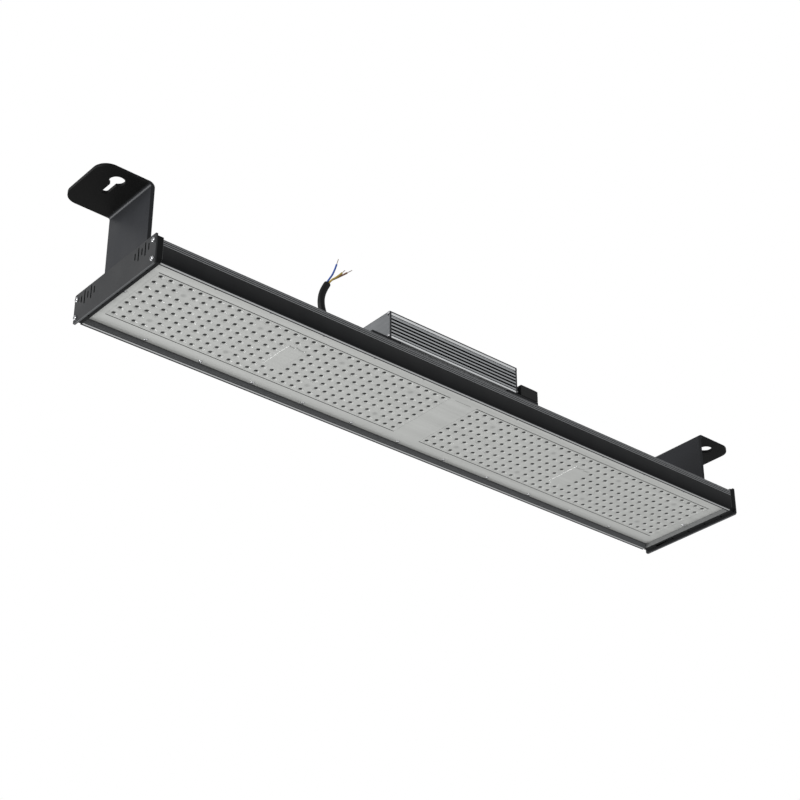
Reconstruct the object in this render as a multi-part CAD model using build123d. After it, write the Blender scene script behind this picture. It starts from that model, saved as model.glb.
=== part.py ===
from build123d import *
import math
import os

# Linear LED high bay light: a long extruded heat sink with a lens panel below,
# a driver on top, vented end plates and two hanging brackets.
# Millimetres, +Z up. X runs along the light, the origin is on the middle of
# the floor that the bottom edges of the two end plates rest on.

os.makedirs("parts", exist_ok=True)

# Edges are found by their place, to within this
PLACE_TOLERANCE = 0.01

# Heat sink extrusion
HOUSING_LENGTH = 1088.0
HOUSING_WIDTH = 196.0
LIP_BOTTOM = 5.5
LIP_WIDTH = 8.7
LIP_RADIUS = 3.0
LEDGE_WIDTH = 24.0
LEDGE_THICKNESS = 3.0
BASE_BOTTOM = 26.0
BASE_THICKNESS = 4.0
SHOULDER_HEIGHT = 39.3
SHOULDER_CHAMFER = 2.2
SHOULDER_CHAMFER_RUN = 3.0
SHOULDER_WIDTH = 10.0
CHAMBER_WALL = 3.0
CHAMBER_HEIGHT = 7.0
SIDE_RIB_COUNT = 3
SIDE_RIB_PITCH = 2.9
SIDE_RIB_HEIGHT = 1.5
SIDE_RIB_DEPTH = 1.0
SIDE_RIB_TOP = 37.75
TOP_GROOVE_SHARE = 0.6
FIN_TOP = 46.0
FIN_THICKNESS = 2.0
FIN_PITCH = 8.0
FIN_COUNT = 21

# Lens panel
LENS_FACE = 13.0
LENS_RIM_THICKNESS = 3.0
LENS_FIELD_THICKNESS = 5.5
LENS_EDGE_GAP = 0.5
LENS_FIELD_MARGIN_X = 16.0
LENS_FIELD_MARGIN_Y = 20.0
LENS_END_MARGIN = 24.7
LENS_ROW_PITCH = 16.0
LENS_COLUMNS = 32
LENS_ROWS = 8
MIDDLE_GAP = 65.2
DIMPLE_RADIUS = 4.6
DIMPLE_FLOOR_RADIUS = 1.5
DIMPLE_DEPTH = 3.2
DIMPLE_SIDES = 6
BOARD_SCREW_COLUMNS = (3, 11, 20, 28)
BOARD_SCREW_ROWS = (1, 6)
PAD_COLUMNS = (15, 16)
PAD_ROWS = (2, 3, 4, 5)
PAD_HEIGHT = 0.8
PAD_INSET = 1.5
GASKET_THICKNESS = 1.0
GASKET_WIDTH = 5.0
GASKET_INSET = 9.0

# Screws that hold the lens panel
LENS_SCREW_PITCH = 90.0
LENS_SCREW_SIDE_COUNT = 11
LENS_SCREW_Y = 82.4
LENS_SCREW_END_INSET = 6.0
LENS_SCREW_HEAD_RADIUS = 2.75
LENS_SCREW_HEAD_HEIGHT = 1.8
LENS_SCREW_SHANK_RADIUS = 1.3
LENS_SCREW_DEPTH = 6.0
SCREW_CLEARANCE = 0.1

# LED boards
BOARD_THICKNESS = 1.6
BOARD_WIDTH = 138.0
BOARD_END_MARGIN = 8.0
BOARD_SCREW_RADIUS = 3.2
CHIP_SIZE = 3.0
CHIP_HEIGHT = 0.7
BOARD_SCREW_HEIGHT = 1.8

# End caps and end plates
CAP_DEPTH = 9.0
CAP_WALL = 2.5
CAP_TOP = 42.4
CAP_BOTTOM = 4.5
CAP_SHELF_REACH = 16.0
CAP_SHELF_GAP = 0.5
CAP_NOTCH_COUNT = 5
CAP_NOTCH_PITCH = 35.0
CAP_NOTCH_WIDTH = 3.0
CAP_NOTCH_LENGTH = 4.5
PLATE_THICKNESS = 2.2
PLATE_TOP = 46.5
PLATE_CORNER = 9.0
PLATE_TOP_RADIUS = 2.0
VENT_WIDTH = 2.6
VENT_PITCH = 8.0
VENT_FIRST = 49.0
VENT_HEIGHT = 33.0
VENT_LENGTHS = (11.0, 21.0, 11.0, 21.0, 11.0)
PLATE_SCREW_Y = 92.0
PLATE_SCREW_LOW = 8.4
PLATE_SCREW_HIGH = 37.2
PLATE_SCREW_HEAD_RADIUS = 3.75
PLATE_SCREW_HEAD_HEIGHT = 2.6
PLATE_SCREW_SHANK_RADIUS = 1.6
PLATE_SCREW_GRIP = 14.0

# Hanging brackets
BRACKET_SETBACK = 3.2
BRACKET_THICKNESS = 4.0
BRACKET_HALF_WIDTH = 51.0
BRACKET_FLANGE_UNDERSIDE = 155.0
BRACKET_FLANGE_LENGTH = 81.2
BRACKET_FOOT_LENGTH = 55.8
BRACKET_BEND_RADIUS = 3.0
BRACKET_CORNER_RADIUS = 21.5
KEYHOLE_OUT = 38.2
KEYHOLE_Y = -27.0
KEYHOLE_RADIUS = 9.0
KEYHOLE_SLOT_WIDTH = 8.0
KEYHOLE_SLOT_END = 0.0
FOOT_SCREW_IN = 30.8
FOOT_SCREW_Y = 28.0
FOOT_SCREW_RADIUS = 2.4
FOOT_SCREW_HEAD_RADIUS = 4.5
FOOT_SCREW_HEAD_HEIGHT = 3.4
FOOT_SCREW_BITE = 3.0

# Driver
DRIVER_LEFT = -114.0
DRIVER_RIGHT = 139.0
DRIVER_BOTTOM = 95.5
DRIVER_TOP = 138.4
DRIVER_WIDTH = 70.0
DRIVER_WALL = 5.4
DRIVER_END_THICKNESS = 3.0
DRIVER_RIB_TOP = 130.4
DRIVER_RIB_PITCH = 5.78
DRIVER_RIB_COUNT = 6
DRIVER_RIB_HEIGHT = 2.7
DRIVER_RIB_DEPTH = 2.0
DRIVER_CAP_BAND = 4.2
DRIVER_FOOT_BAND = 3.1
DRIVER_TOP_GROOVE_COUNT = 7
DRIVER_TOP_GROOVE_WIDTH = 4.0
DRIVER_TOP_GROOVE_DEPTH = 1.5
DRIVER_SCREW_INSET = 3.6
DRIVER_SCREW_HEAD_RADIUS = 2.4
DRIVER_SCREW_HEAD_HEIGHT = 1.4
DRIVER_SCREW_SHANK_RADIUS = 1.3
DRIVER_SCREW_DEPTH = 6.0
CIRCUIT_LIFT = 4.0
CIRCUIT_RAIL = 2.0
CIRCUIT_THICKNESS = 1.6
CIRCUIT_INSET = 1.0
TRANSFORMER_LENGTH = 42.0
TRANSFORMER_WIDTH = 40.0
TRANSFORMER_HEIGHT = 20.0
TRANSFORMER_CORE = 5.0
CAPACITOR_RADIUS = 8.0
CAPACITOR_HEIGHT = 20.0
CAPACITOR_INSET = 24.0

# Driver stands and the junction box
STAND_THICKNESS = 4.0
STAND_LEFT_START = -146.0
STAND_LEFT_END = -93.0
STAND_RIGHT_START = 120.0
STAND_RIGHT_END = 182.0
STAND_HALF_WIDTH = 35.0
STAND_FOOT = 14.0
STAND_BEND_RADIUS = 1.5
STAND_SCREW_INSET = 11.0
STAND_SCREW_Y = 44.0
STAND_SCREW_RADIUS = 2.0
STAND_SCREW_HEAD_RADIUS = 3.6
STAND_SCREW_HEAD_HEIGHT = 2.4
BOX_LEFT = 147.0
BOX_TOP = 114.0
BOX_WALL = 2.0
BOX_HALF_WIDTH = 35.0
BOX_CHAMFER = 3.0
BOX_LID_THICKNESS = 4.0

# Mains cable, out of a gland in the driver's left end plate
CABLE_Y = 23.0
CABLE_Z = 104.0
CABLE_DIAMETER = 10.8
GLAND_LENGTH = 10.0
GLAND_RADIUS = 6.9
GLAND_DOME_RADIUS = 6.4
GLAND_NUT_LENGTH = 4.0
OUTPUT_GLAND_RADIUS = 6.0
OUTPUT_GLAND_Z = 104.0
WIRE_DIAMETER = 2.8
COPPER_DIAMETER = 1.1
CORD_ARC_SHARE = 0.45
COPPER_LENGTHS = {"blue": 11.7, "yellow_green": 9.0, "brown": 13.4}

# Points of the cable's and the wires' routes, from the driver outwards
CABLE_ROUTE = [
    (-124.0, 23.0, 104.0),
    (-135.7, 23.0, 104.0),
    (-157.4, 23.0, 103.5),
    (-177.2, 23.0, 112.1),
    (-191.5, 23.0, 128.4),
    (-197.3, 23.0, 149.2),
    (-193.7, 23.0, 170.5),
    (-185.8, 23.0, 185.1),
]
WIRE_ROUTES = {
    "blue": [
        (-187.4, 23.0, 186.0),
        (-182.2, 23.0, 195.7),
        (-174.0, 23.3, 209.5),
        (-168.5, 23.5, 227.6),
    ],
    "yellow_green": [
        (-185.1, 21.5, 184.73),
        (-179.9, 21.5, 194.4),
        (-168.9, 21.6, 203.8),
        (-159.5, 21.8, 215.6),
    ],
    "brown": [
        (-185.1, 24.5, 184.73),
        (-179.9, 24.5, 194.4),
        (-163.5, 24.8, 208.0),
        (-147.5, 25.2, 222.6),
    ],
}

# Places that follow from the sizes above
half_length = HOUSING_LENGTH / 2
half_width = HOUSING_WIDTH / 2
lip_inner = half_width - LIP_WIDTH
ledge_inner = half_width - LEDGE_WIDTH
lens_back = LENS_FACE + LENS_RIM_THICKNESS
ledge_bottom = lens_back + GASKET_THICKNESS
ledge_top = ledge_bottom + LEDGE_THICKNESS
base_top = BASE_BOTTOM + BASE_THICKNESS
lens_half_length = half_length - LENS_EDGE_GAP
lens_half_width = lip_inner - LENS_EDGE_GAP
cap_outer = half_length + CAP_DEPTH
plate_outer = cap_outer + PLATE_THICKNESS
stand_top = DRIVER_BOTTOM
case_left = DRIVER_LEFT + DRIVER_END_THICKNESS
case_right = DRIVER_RIGHT - DRIVER_END_THICKNESS
lens_screw_end_x = half_length - LENS_SCREW_END_INSET
lens_column_pitch = (half_length - LENS_END_MARGIN - MIDDLE_GAP / 2) / (LENS_COLUMNS - 1)
bracket_face = half_length - BRACKET_SETBACK
bracket_inner_face = bracket_face - BRACKET_THICKNESS
bracket_flange_end = bracket_face + BRACKET_FLANGE_LENGTH
bracket_foot_end = bracket_face - BRACKET_FOOT_LENGTH
bracket_foot_top = FIN_TOP + BRACKET_THICKNESS
bracket_flange_top = BRACKET_FLANGE_UNDERSIDE + BRACKET_THICKNESS
keyhole_x = bracket_face + KEYHOLE_OUT
foot_screw_x = bracket_face - FOOT_SCREW_IN
stand_foot_top = FIN_TOP + STAND_THICKNESS


def block(x_low, x_high, y_low, y_high, z_low, z_high):
    """A box between two opposite corners."""
    centre = Pos((x_low + x_high) / 2, (y_low + y_high) / 2, (z_low + z_high) / 2)
    return centre * Box(x_high - x_low, y_high - y_low, z_high - z_low)


def upright_pin(x, y, z_low, z_high, radius):
    """A cylinder along Z."""
    return Pos(x, y, (z_low + z_high) / 2) * Cylinder(radius, z_high - z_low)


def level_pin(x_low, x_high, y, z, radius):
    """A cylinder along X."""
    return Pos((x_low + x_high) / 2, y, z) * Rot(0, 90, 0) * Cylinder(radius, x_high - x_low)


def other_end(shape):
    """The same shape at the opposite end of the light."""
    return mirror(shape, about=Plane.YZ)


def save(name, *solids):
    """Write one node, which may hold several separate solids."""
    pieces = []
    for shape in solids:
        pieces.extend(shape.solids())
    node = pieces[0] if len(pieces) == 1 else Compound(children=pieces)
    node.label = name
    export_step(node, f"parts/{name}.step")
    return node


def profile_along_x(points, x_low, x_high):
    """Extrude a closed outline of (y, z) points from one x to another."""
    outline = Plane.YZ * make_face(Polyline(*points, close=True))
    return Pos(x_low, 0, 0) * extrude(outline, x_high - x_low)


def lens_cells():
    """Every cell of the lens grid as half, column, row, x and y."""
    for side in (-1, 1):
        for column in range(LENS_COLUMNS):
            x = side * (MIDDLE_GAP / 2 + column * lens_column_pitch)
            for row in range(LENS_ROWS):
                y = (row - (LENS_ROWS - 1) / 2) * LENS_ROW_PITCH
                yield column, row, x, y


def is_board_screw(column, row):
    return column in BOARD_SCREW_COLUMNS and row in BOARD_SCREW_ROWS


def is_pad(column, row):
    return column in PAD_COLUMNS and row in PAD_ROWS


# Heat sink housing, one extrusion
def side_outline():
    """The right half of the extrusion's outline, from its cavity up over the shoulder."""
    points = [
        (ledge_inner, BASE_BOTTOM),
        (ledge_inner, ledge_bottom),
        (lip_inner, ledge_bottom),
        (lip_inner, LIP_BOTTOM),
        (half_width, LIP_BOTTOM),
    ]
    groove_height = SIDE_RIB_PITCH - SIDE_RIB_HEIGHT
    for index in range(SIDE_RIB_COUNT, -1, -1):
        groove_bottom = SIDE_RIB_TOP - index * SIDE_RIB_PITCH
        height = groove_height if index else groove_height * TOP_GROOVE_SHARE
        points += [
            (half_width, groove_bottom),
            (half_width - SIDE_RIB_DEPTH, groove_bottom),
            (half_width - SIDE_RIB_DEPTH, groove_bottom + height),
            (half_width, groove_bottom + height),
        ]
    points += [
        (half_width, SHOULDER_HEIGHT),
        (half_width - SHOULDER_CHAMFER_RUN, SHOULDER_HEIGHT + SHOULDER_CHAMFER),
        (half_width - SHOULDER_WIDTH, SHOULDER_HEIGHT + SHOULDER_CHAMFER),
        (half_width - SHOULDER_WIDTH, base_top),
    ]
    return points


def fin_outline():
    """The row of fins on the base plate, from the right to the left."""
    points = []
    for index in range(FIN_COUNT):
        y = ((FIN_COUNT - 1) / 2 - index) * FIN_PITCH
        points += [
            (y + FIN_THICKNESS / 2, base_top),
            (y + FIN_THICKNESS / 2, FIN_TOP),
            (y - FIN_THICKNESS / 2, FIN_TOP),
            (y - FIN_THICKNESS / 2, base_top),
        ]
    return points


def make_housing():
    right = side_outline()
    left = [(-y, z) for y, z in reversed(right)]
    outline = make_face(Polyline(*(right + fin_outline() + left), close=True))
    lip_corners = [
        corner
        for corner in outline.vertices()
        if abs(abs(corner.X) - half_width) < PLACE_TOLERANCE and abs(corner.Y - LIP_BOTTOM) < PLACE_TOLERANCE
    ]
    outline = fillet(lip_corners, LIP_RADIUS)
    chamber_width = LEDGE_WIDTH - 2 * CHAMBER_WALL
    chamber_y = half_width - LEDGE_WIDTH / 2
    chamber_z = ledge_top + CHAMBER_HEIGHT / 2
    for side in (-1, 1):
        outline -= Pos(side * chamber_y, chamber_z) * Rectangle(chamber_width, CHAMBER_HEIGHT)
    body = extrude(Plane.YZ * outline, half_length, both=True)
    holes = []
    for x, y in lens_screw_places():
        if abs(x) < half_length - CAP_SHELF_REACH:
            radius = LENS_SCREW_SHANK_RADIUS + SCREW_CLEARANCE
            holes.append(upright_pin(x, y, ledge_bottom, ledge_top, radius))
    for y, z in plate_screw_places():
        for side in (-1, 1):
            inner = side * (half_length - PLATE_SCREW_GRIP)
            low, high = sorted((inner, side * half_length))
            holes.append(level_pin(low, high, y, z, PLATE_SCREW_SHANK_RADIUS + SCREW_CLEARANCE))
    for x, y, radius in top_screw_places():
        holes.append(upright_pin(x, y, base_top - FOOT_SCREW_BITE, base_top, radius + SCREW_CLEARANCE))
    return body - holes


# Screw places, shared by the screws and by what they pass through
def lens_screw_places():
    places = []
    middle = (LENS_SCREW_SIDE_COUNT - 1) / 2
    for index in range(LENS_SCREW_SIDE_COUNT):
        x = (index - middle) * LENS_SCREW_PITCH
        places += [(x, -LENS_SCREW_Y), (x, LENS_SCREW_Y)]
    return places + [(-lens_screw_end_x, 0.0), (lens_screw_end_x, 0.0)]


def plate_screw_places():
    return [(y, z) for y in (-PLATE_SCREW_Y, PLATE_SCREW_Y) for z in (PLATE_SCREW_LOW, PLATE_SCREW_HIGH)]


def foot_screw_places():
    return [(x, y) for x in (-foot_screw_x, foot_screw_x) for y in (-FOOT_SCREW_Y, FOOT_SCREW_Y)]


def stand_screw_places():
    places = []
    for start, end in ((STAND_LEFT_START, STAND_LEFT_END), (STAND_RIGHT_START, STAND_RIGHT_END)):
        for x in (start + STAND_SCREW_INSET, end - STAND_SCREW_INSET):
            places += [(x, -STAND_SCREW_Y), (x, STAND_SCREW_Y)]
    return places


def top_screw_places():
    feet = [(x, y, FOOT_SCREW_RADIUS) for x, y in foot_screw_places()]
    return feet + [(x, y, STAND_SCREW_RADIUS) for x, y in stand_screw_places()]


# Lens panel, its gasket and its screws
def make_dimple():
    mouth = Pos(0, 0, LENS_FACE) * RegularPolygon(DIMPLE_RADIUS, DIMPLE_SIDES)
    floor = Pos(0, 0, LENS_FACE + DIMPLE_DEPTH) * RegularPolygon(DIMPLE_FLOOR_RADIUS, DIMPLE_SIDES)
    return loft([mouth, floor])


def make_lens_panel():
    rim = block(
        -lens_half_length, lens_half_length, -lens_half_width, lens_half_width, LENS_FACE, lens_back
    )
    field_x = lens_half_length - LENS_FIELD_MARGIN_X
    field_y = lens_half_width - LENS_FIELD_MARGIN_Y
    field = block(
        -field_x, field_x, -field_y, field_y, LENS_FACE, LENS_FACE + LENS_FIELD_THICKNESS
    )
    panel = rim + field
    for side in (-1, 1):
        pad_x = side * (MIDDLE_GAP / 2 + (sum(PAD_COLUMNS) / 2) * lens_column_pitch)
        pad_y = (sum(PAD_ROWS) / len(PAD_ROWS) - (LENS_ROWS - 1) / 2) * LENS_ROW_PITCH
        pad_half_x = len(PAD_COLUMNS) * lens_column_pitch / 2 - PAD_INSET
        pad_half_y = len(PAD_ROWS) * LENS_ROW_PITCH / 2 - PAD_INSET
        panel += block(
            pad_x - pad_half_x,
            pad_x + pad_half_x,
            pad_y - pad_half_y,
            pad_y + pad_half_y,
            LENS_FACE - PAD_HEIGHT,
            LENS_FACE,
        )
    dimple = make_dimple()
    cuts = [
        Pos(x, y, 0) * dimple
        for column, row, x, y in lens_cells()
        if not is_board_screw(column, row) and not is_pad(column, row)
    ]
    for x, y in lens_screw_places():
        cuts.append(upright_pin(x, y, LENS_FACE, lens_back, LENS_SCREW_SHANK_RADIUS + SCREW_CLEARANCE))
    return panel - cuts


def make_gasket():
    outer_x = lens_half_length - GASKET_INSET
    outer_y = lens_half_width - GASKET_INSET
    ring = block(-outer_x, outer_x, -outer_y, outer_y, lens_back, ledge_bottom)
    inner_x = outer_x - GASKET_WIDTH
    inner_y = outer_y - GASKET_WIDTH
    return ring - block(-inner_x, inner_x, -inner_y, inner_y, lens_back, ledge_bottom)


def make_lens_screw(x, y):
    head = upright_pin(x, y, LENS_FACE - LENS_SCREW_HEAD_HEIGHT, LENS_FACE, LENS_SCREW_HEAD_RADIUS)
    return head + upright_pin(x, y, LENS_FACE, LENS_FACE + LENS_SCREW_DEPTH, LENS_SCREW_SHANK_RADIUS)


# LED boards on the underside of the base plate, with one chip over each lens
def make_led_board(side):
    inner = MIDDLE_GAP / 2 - BOARD_END_MARGIN
    outer = half_length - LENS_END_MARGIN + BOARD_END_MARGIN
    low, high = sorted((side * inner, side * outer))
    half = BOARD_WIDTH / 2
    board_face = BASE_BOTTOM - BOARD_THICKNESS
    board = block(low, high, -half, half, board_face, BASE_BOTTOM)
    chips = [
        Pos(x, y, board_face - CHIP_HEIGHT / 2) * Box(CHIP_SIZE, CHIP_SIZE, CHIP_HEIGHT)
        for column, row, x, y in lens_cells()
        if x * side > 0 and not is_board_screw(column, row)
    ]
    return board + chips


def make_board_screws():
    board_face = BASE_BOTTOM - BOARD_THICKNESS
    return [
        upright_pin(x, y, board_face - BOARD_SCREW_HEIGHT, board_face, BOARD_SCREW_RADIUS)
        for column, row, x, y in lens_cells()
        if is_board_screw(column, row)
    ]


# End caps: black trays that close the extrusion and carry the lens ends
def end_outline(half, bottom, top, corner):
    """An end outline with cut lower corners, as (y, z) points."""
    return [
        (-half + corner, bottom),
        (half - corner, bottom),
        (half, bottom + corner),
        (half, top),
        (-half, top),
        (-half, bottom + corner),
    ]


def make_end_cap():
    outline = end_outline(half_width, CAP_BOTTOM, CAP_TOP, PLATE_CORNER - CAP_BOTTOM)
    cap = profile_along_x(outline, half_length, cap_outer)
    inner = end_outline(
        half_width - CAP_WALL, CAP_BOTTOM + CAP_WALL, CAP_TOP - CAP_WALL, PLATE_CORNER - CAP_BOTTOM
    )
    tray = cap - profile_along_x(inner, half_length + CAP_WALL, cap_outer)
    for y, z in plate_screw_places():
        boss = level_pin(half_length + CAP_WALL / 2, cap_outer, y, z, PLATE_SCREW_HEAD_RADIUS)
        tray += boss & cap
    shelf_half = ledge_inner - CAP_SHELF_GAP
    shelf = block(
        half_length - CAP_SHELF_REACH, half_length, -shelf_half, shelf_half, ledge_bottom, ledge_top
    )
    tray += shelf
    cuts = []
    for y, z in plate_screw_places():
        cuts.append(level_pin(half_length, cap_outer, y, z, PLATE_SCREW_SHANK_RADIUS + SCREW_CLEARANCE))
    for index in range(CAP_NOTCH_COUNT):
        y = (index - (CAP_NOTCH_COUNT - 1) / 2) * CAP_NOTCH_PITCH
        x = half_length + CAP_DEPTH / 2 + CAP_WALL / 2
        half = CAP_NOTCH_LENGTH / 2
        side = CAP_NOTCH_WIDTH / 2
        cuts.append(block(x - half, x + half, y - side, y + side, CAP_BOTTOM, CAP_BOTTOM + CAP_WALL))
    screw_hole = LENS_SCREW_SHANK_RADIUS + SCREW_CLEARANCE
    cuts.append(upright_pin(lens_screw_end_x, 0, ledge_bottom, ledge_top, screw_hole))
    return tray - cuts


# End plates: folded steel sheets with vent slots
def make_end_plate():
    plate = profile_along_x(
        end_outline(half_width, 0, PLATE_TOP, PLATE_CORNER), cap_outer, plate_outer
    )
    top_corners = plate.edges().filter_by(Axis.X).sort_by(Axis.Z)[-2:]
    plate = fillet(top_corners, PLATE_TOP_RADIUS)
    middle = (cap_outer + plate_outer) / 2
    cuts = []
    for index, length in enumerate(VENT_LENGTHS):
        for side in (-1, 1):
            y = side * (VENT_FIRST + index * VENT_PITCH)
            slot = Plane.YZ * Rot(0, 0, 90) * SlotOverall(length, VENT_WIDTH)
            slot = extrude(slot, PLATE_THICKNESS / 2, both=True)
            cuts.append(Pos(middle, y, VENT_HEIGHT) * slot)
    for y, z in plate_screw_places():
        cuts.append(level_pin(cap_outer, plate_outer, y, z, PLATE_SCREW_SHANK_RADIUS + SCREW_CLEARANCE))
    return plate - cuts


def make_plate_screw(y, z):
    head = level_pin(plate_outer, plate_outer + PLATE_SCREW_HEAD_HEIGHT, y, z, PLATE_SCREW_HEAD_RADIUS)
    return head + level_pin(plate_outer - PLATE_SCREW_GRIP, plate_outer, y, z, PLATE_SCREW_SHANK_RADIUS)


# Hanging brackets: one strip of steel, bent twice, with a keyhole in its flange
def make_bracket():
    points = [
        (bracket_foot_end, FIN_TOP),
        (bracket_face, FIN_TOP),
        (bracket_face, BRACKET_FLANGE_UNDERSIDE),
        (bracket_flange_end, BRACKET_FLANGE_UNDERSIDE),
        (bracket_flange_end, bracket_flange_top),
        (bracket_inner_face, bracket_flange_top),
        (bracket_inner_face, bracket_foot_top),
        (bracket_foot_end, bracket_foot_top),
    ]
    strip = extrude(Plane.XZ * make_face(Polyline(*points, close=True)), BRACKET_HALF_WIDTH, both=True)
    bends = {
        (bracket_face, BRACKET_FLANGE_UNDERSIDE): BRACKET_BEND_RADIUS,
        (bracket_inner_face, bracket_foot_top): BRACKET_BEND_RADIUS,
        (bracket_face, FIN_TOP): BRACKET_BEND_RADIUS + BRACKET_THICKNESS,
        (bracket_inner_face, bracket_flange_top): BRACKET_BEND_RADIUS + BRACKET_THICKNESS,
    }
    for (x, z), radius in bends.items():
        bend = [
            edge
            for edge in strip.edges().filter_by(Axis.Y)
            if abs(edge.center().X - x) < PLACE_TOLERANCE and abs(edge.center().Z - z) < PLACE_TOLERANCE
        ]
        strip = fillet(bend, radius)
    corners = [
        edge
        for edge in strip.edges().filter_by(Axis.Z)
        if abs(edge.center().X - bracket_flange_end) < PLACE_TOLERANCE
    ]
    strip = fillet(corners, BRACKET_CORNER_RADIUS)
    slot_half = KEYHOLE_SLOT_WIDTH / 2
    keyhole = upright_pin(
        keyhole_x, KEYHOLE_Y, BRACKET_FLANGE_UNDERSIDE, bracket_flange_top, KEYHOLE_RADIUS
    )
    keyhole += upright_pin(
        keyhole_x, KEYHOLE_SLOT_END, BRACKET_FLANGE_UNDERSIDE, bracket_flange_top, slot_half
    )
    keyhole += block(
        keyhole_x - slot_half,
        keyhole_x + slot_half,
        KEYHOLE_Y,
        KEYHOLE_SLOT_END,
        BRACKET_FLANGE_UNDERSIDE,
        bracket_flange_top,
    )
    holes = [
        upright_pin(x, y, FIN_TOP, bracket_foot_top, FOOT_SCREW_RADIUS + SCREW_CLEARANCE)
        for x, y in foot_screw_places()
        if x > 0
    ]
    return strip - keyhole - holes


def make_top_screw(x, y, seat, radius, head_radius, head_height):
    shank = upright_pin(x, y, base_top - FOOT_SCREW_BITE, seat, radius)
    return shank + upright_pin(x, y, seat, seat + head_height, head_radius)


# Driver: a ribbed aluminium case, closed by two end plates
def driver_outline():
    """The case's outline with its side ribs and the shallow grooves of its top."""
    half = DRIVER_WIDTH / 2
    floor = half - DRIVER_RIB_DEPTH
    right = [(half, DRIVER_BOTTOM), (half, DRIVER_BOTTOM + DRIVER_FOOT_BAND)]
    right.append((floor, DRIVER_BOTTOM + DRIVER_FOOT_BAND))
    for index in range(DRIVER_RIB_COUNT - 1, -1, -1):
        z = DRIVER_RIB_TOP - index * DRIVER_RIB_PITCH
        right += [
            (floor, z - DRIVER_RIB_HEIGHT / 2),
            (half, z - DRIVER_RIB_HEIGHT / 2),
            (half, z + DRIVER_RIB_HEIGHT / 2),
            (floor, z + DRIVER_RIB_HEIGHT / 2),
        ]
    right += [(floor, DRIVER_TOP - DRIVER_CAP_BAND), (half, DRIVER_TOP - DRIVER_CAP_BAND), (half, DRIVER_TOP)]
    top = []
    pitch = DRIVER_WIDTH / (DRIVER_TOP_GROOVE_COUNT + 1)
    for index in range(DRIVER_TOP_GROOVE_COUNT):
        y = half - (index + 1) * pitch
        near = y + DRIVER_TOP_GROOVE_WIDTH / 2
        far = y - DRIVER_TOP_GROOVE_WIDTH / 2
        low = DRIVER_TOP - DRIVER_TOP_GROOVE_DEPTH
        top += [(near, DRIVER_TOP), (near, low), (far, low), (far, DRIVER_TOP)]
    left = [(-y, z) for y, z in reversed(right)]
    return right + top + left


def driver_screw_places():
    y_far = DRIVER_WIDTH / 2 - DRIVER_SCREW_INSET
    heights = (DRIVER_BOTTOM + DRIVER_SCREW_INSET, DRIVER_TOP - DRIVER_SCREW_INSET)
    return [(y, z) for y in (-y_far, y_far) for z in heights]


def make_driver_case():
    case = profile_along_x(driver_outline(), case_left, case_right)
    cavity_half = DRIVER_WIDTH / 2 - DRIVER_WALL
    cavity_low = DRIVER_BOTTOM + DRIVER_WALL
    cavity_high = DRIVER_TOP - DRIVER_WALL
    cavity = block(case_left, case_right, -cavity_half, cavity_half, cavity_low, cavity_high)
    board_seat = cavity_low + CIRCUIT_LIFT
    for side in (-1, 1):
        low, high = sorted((side * cavity_half, side * (cavity_half - CIRCUIT_RAIL)))
        cavity -= block(case_left, case_right, low, high, board_seat - CIRCUIT_RAIL, board_seat)
    case -= cavity
    for y, z in driver_screw_places():
        radius = DRIVER_SCREW_SHANK_RADIUS + SCREW_CLEARANCE
        case -= level_pin(case_left, case_left + DRIVER_SCREW_DEPTH, y, z, radius)
        case -= level_pin(case_right - DRIVER_SCREW_DEPTH, case_right, y, z, radius)
    return case


def make_driver_end(x_low, x_high):
    half = DRIVER_WIDTH / 2
    plate = block(x_low, x_high, -half, half, DRIVER_BOTTOM, DRIVER_TOP)
    for y, z in driver_screw_places():
        plate -= level_pin(x_low, x_high, y, z, DRIVER_SCREW_SHANK_RADIUS + SCREW_CLEARANCE)
    return plate


def make_driver_screws():
    screws = []
    for y, z in driver_screw_places():
        for face, outwards in ((DRIVER_LEFT, -1), (DRIVER_RIGHT, 1)):
            head = sorted((face, face + outwards * DRIVER_SCREW_HEAD_HEIGHT))
            shank = sorted((face, face - outwards * DRIVER_SCREW_DEPTH))
            screw = level_pin(head[0], head[1], y, z, DRIVER_SCREW_HEAD_RADIUS)
            screws.append(screw + level_pin(shank[0], shank[1], y, z, DRIVER_SCREW_SHANK_RADIUS))
    return screws


def make_circuit_board():
    half = DRIVER_WIDTH / 2 - DRIVER_WALL - CIRCUIT_INSET / 2
    seat = DRIVER_BOTTOM + DRIVER_WALL + CIRCUIT_LIFT
    return block(
        case_left + CIRCUIT_INSET, case_right - CIRCUIT_INSET, -half, half, seat, seat + CIRCUIT_THICKNESS
    )


def make_transformer():
    seat = DRIVER_BOTTOM + DRIVER_WALL + CIRCUIT_LIFT + CIRCUIT_THICKNESS
    middle = (DRIVER_LEFT + DRIVER_RIGHT) / 2
    core = block(
        middle - TRANSFORMER_LENGTH / 2,
        middle + TRANSFORMER_LENGTH / 2,
        -TRANSFORMER_WIDTH / 2,
        TRANSFORMER_WIDTH / 2,
        seat,
        seat + TRANSFORMER_HEIGHT,
    )
    winding_half = TRANSFORMER_WIDTH / 2 - TRANSFORMER_CORE
    for side in (-1, 1):
        low, high = sorted((side * winding_half, side * (winding_half - TRANSFORMER_CORE)))
        core -= block(
            middle - TRANSFORMER_LENGTH / 2, middle + TRANSFORMER_LENGTH / 2, low, high,
            seat + TRANSFORMER_CORE, seat + TRANSFORMER_HEIGHT - TRANSFORMER_CORE,
        )
    return core


def make_capacitors():
    seat = DRIVER_BOTTOM + DRIVER_WALL + CIRCUIT_LIFT + CIRCUIT_THICKNESS
    return [
        upright_pin(x, y, seat, seat + CAPACITOR_HEIGHT, CAPACITOR_RADIUS)
        for x in (case_left + CAPACITOR_INSET, case_right - CAPACITOR_INSET)
        for y in (-CAPACITOR_INSET / 2, CAPACITOR_INSET / 2)
    ]


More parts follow.
